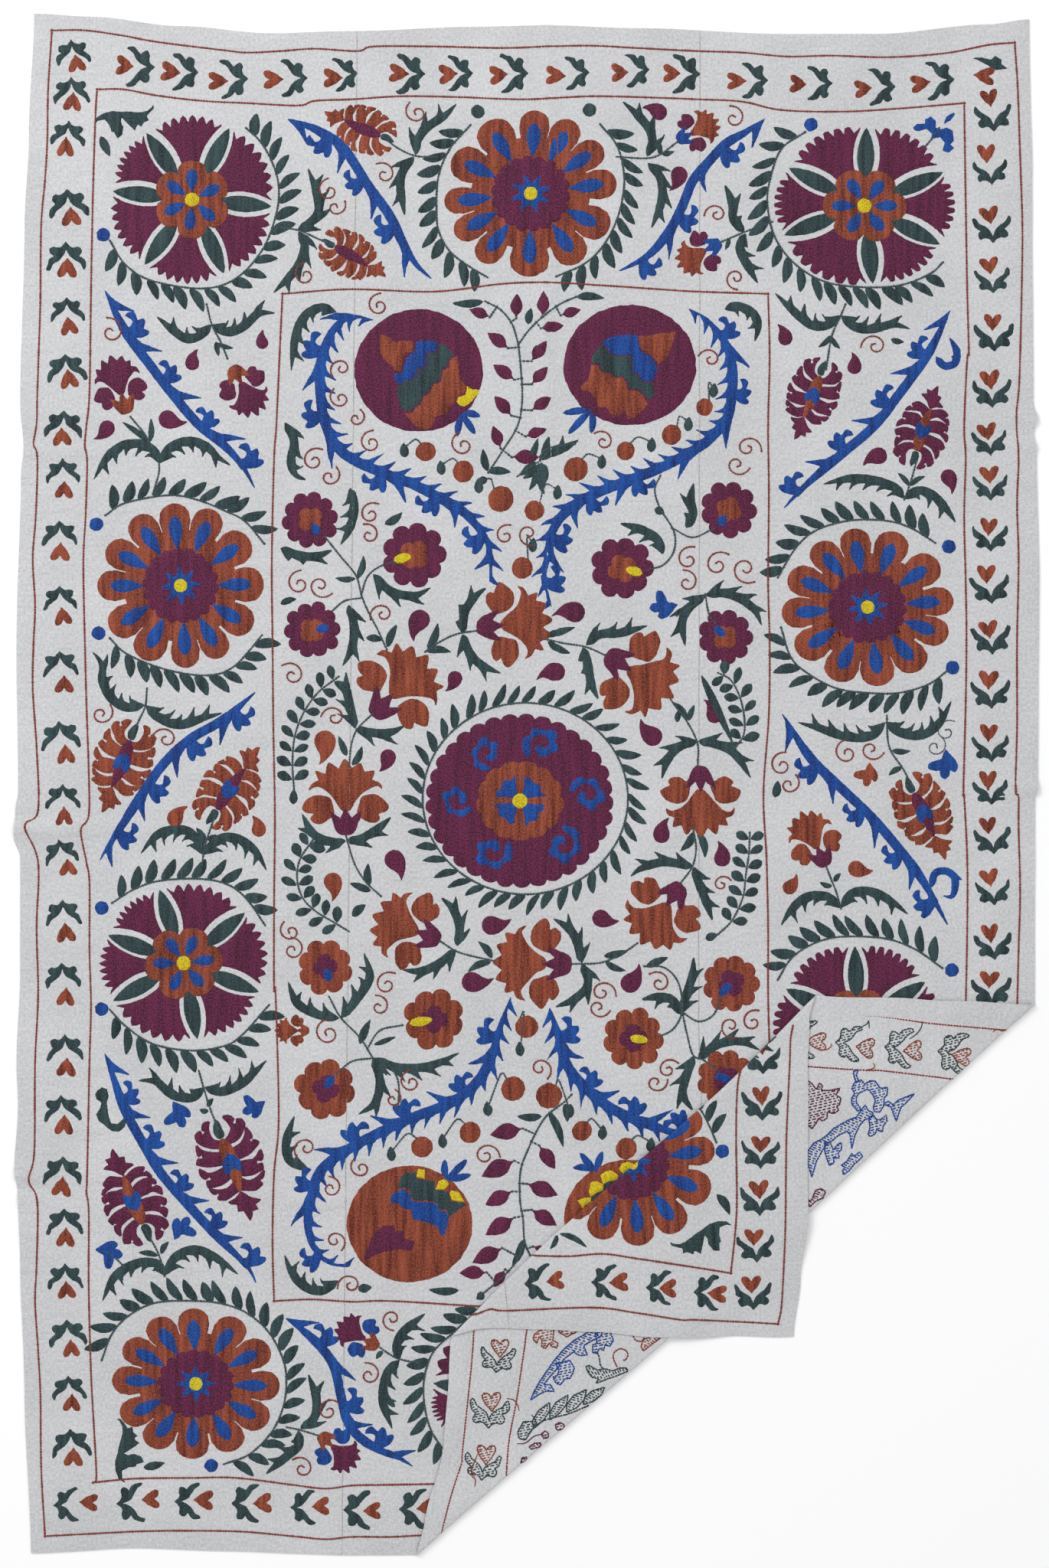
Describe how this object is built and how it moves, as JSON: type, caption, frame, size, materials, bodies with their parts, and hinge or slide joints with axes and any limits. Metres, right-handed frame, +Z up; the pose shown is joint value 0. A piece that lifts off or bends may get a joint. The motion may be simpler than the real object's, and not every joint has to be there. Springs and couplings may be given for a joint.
{
  "type": "suzani embroidered textile",
  "caption": "Embroidered cotton cover of three sewn panels, laid flat with its lower right corner turned over and back again",
  "frame": {"origin": "on the surface that the cover lies on, under the middle of its outline", "axes": "+X to the right along the cover's short side, +Y along its long side towards the top edge, +Z up, away from the embroidered face"},
  "size_m": [1.4126, 2.1236, 0.0089],
  "materials": {
    "cotton_ground": "undyed hand-woven cotton, off white, matt, with a fine plain weave",
    "rust_thread": "rust orange embroidery thread in close couched fillings, slightly glossy, with streaks of a darker dye",
    "plum_thread": "plum purple embroidery thread in close couched fillings, slightly glossy",
    "blue_thread": "bright blue embroidery thread in close couched fillings, slightly glossy",
    "green_thread": "dark slate green embroidery thread in close couched fillings and chain stitch, slightly glossy",
    "yellow_thread": "yellow embroidery thread in close couched fillings, slightly glossy",
    "russet_line_thread": "russet red embroidery thread in single rows of chain stitch",
    "sewing_thread": "off white cotton sewing thread, matt, in the seams and the turned hem"
  },
  "bodies": {
    "root": {"left_panel": "cotton_ground", "middle_panel": "cotton_ground", "right_panel": "cotton_ground"}
  },
  "joints": []
}
